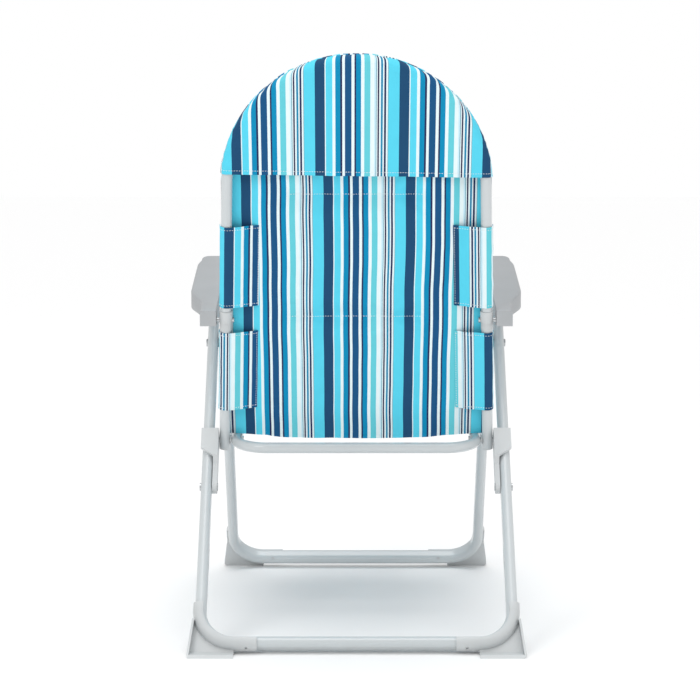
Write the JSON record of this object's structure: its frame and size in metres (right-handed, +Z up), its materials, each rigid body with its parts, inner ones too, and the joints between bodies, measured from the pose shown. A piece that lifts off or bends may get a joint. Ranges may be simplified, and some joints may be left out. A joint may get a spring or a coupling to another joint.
{
  "type": "folding beach chair",
  "caption": "Folding beach chair: crossed tube leg frames, arched back frame with a rear hood, plastic links and armrests, and a striped padded cover.",
  "frame": {"origin": "on the floor, under the middle of the open chair", "axes": "+Z up, -Y the way the chair faces, +X the sitter's left"},
  "size_m": [0.594, 0.7291, 1.0046],
  "materials": {
    "frame_steel": "gloss powder coat",
    "fitting_plastic": "moulded, fine grain",
    "armrest_plastic": "moulded, fine grain",
    "rivet_steel": "plated",
    "cover_fabric": "woven polyester, striped"
  },
  "bodies": {
    "rear_legs": {"rear_leg_frame": "frame_steel", "rear_leg_end_caps": "fitting_plastic", "rear_foot_left": "fitting_plastic", "rear_foot_right": "fitting_plastic", "rear_foot_screws": "rivet_steel", "leg_pivot_rivets": "rivet_steel", "leg_pivot_spacers": "fitting_plastic", "link_rivets": "rivet_steel"},
    "front_legs": {"front_leg_frame": "frame_steel", "front_leg_end_caps": "fitting_plastic", "front_foot_left": "fitting_plastic", "front_foot_right": "fitting_plastic", "front_foot_screws": "rivet_steel", "front_leg_pins": "rivet_steel", "seat_pivot_spacers": "fitting_plastic"},
    "side_links": {"side_link_left": "fitting_plastic", "side_link_right": "fitting_plastic", "hinge_pins": "rivet_steel", "hinge_spacers": "fitting_plastic"},
    "seat": {"seat_frame": "frame_steel", "seat_brackets": "frame_steel", "seat_bracket_pins": "rivet_steel", "seat_pad": "cover_fabric", "seat_tab_front_left": "cover_fabric", "seat_tab_front_right": "cover_fabric", "seat_tab_rear_left": "cover_fabric", "seat_tab_rear_right": "cover_fabric"},
    "back": {"back_frame": "frame_steel", "back_tube_plugs": "fitting_plastic", "arm_sleeve_left": "fitting_plastic", "arm_sleeve_right": "fitting_plastic", "back_arm_pins": "rivet_steel", "back_pad": "cover_fabric", "hood": "cover_fabric", "back_tab_lower_left": "cover_fabric", "back_tab_lower_right": "cover_fabric", "back_tab_upper_left": "cover_fabric", "back_tab_upper_right": "cover_fabric"},
    "armrests": {"armrest_left": "armrest_plastic", "armrest_right": "armrest_plastic", "arm_front_pins": "rivet_steel", "arm_rear_pins": "rivet_steel"}
  },
  "joints": [
    {"name": "leg_fold", "type": "hinge", "parent": "rear_legs", "child": "front_legs", "pos_m": [0, -0.06853, 0.4831], "axis": [1, 0, 0], "range_deg": [0, 65]},
    {"name": "link_swing", "type": "hinge", "parent": "rear_legs", "child": "side_links", "pos_m": [0, 0.13048, 0.24802], "axis": [1, 0, 0], "range_deg": [-144.68, 0]},
    {"name": "seat_turn", "type": "hinge", "parent": "side_links", "child": "seat", "pos_m": [0, 0.06716, 0.32282], "axis": [1, 0, 0], "range_deg": [0, 114.27]},
    {"name": "back_fold", "type": "hinge", "parent": "seat", "child": "back", "pos_m": [0, 0.06716, 0.32282], "axis": [1, 0, 0], "range_deg": [0, 87.15], "deforming": ["back_pad", "seat_pad"]},
    {"name": "armrest_fold", "type": "hinge", "parent": "rear_legs", "child": "armrests", "pos_m": [0, -0.15511, 0.58537], "axis": [1, 0, 0], "range_deg": [-30.43, 0]}
  ],
  "couplings": [
    {"joint": "link_swing", "follows": "leg_fold", "ratio": -2.2246},
    {"joint": "seat_turn", "follows": "leg_fold", "ratio": 1.7569},
    {"joint": "back_fold", "follows": "leg_fold", "ratio": 1.34},
    {"joint": "armrest_fold", "follows": "leg_fold", "ratio": -0.46769}
  ]
}
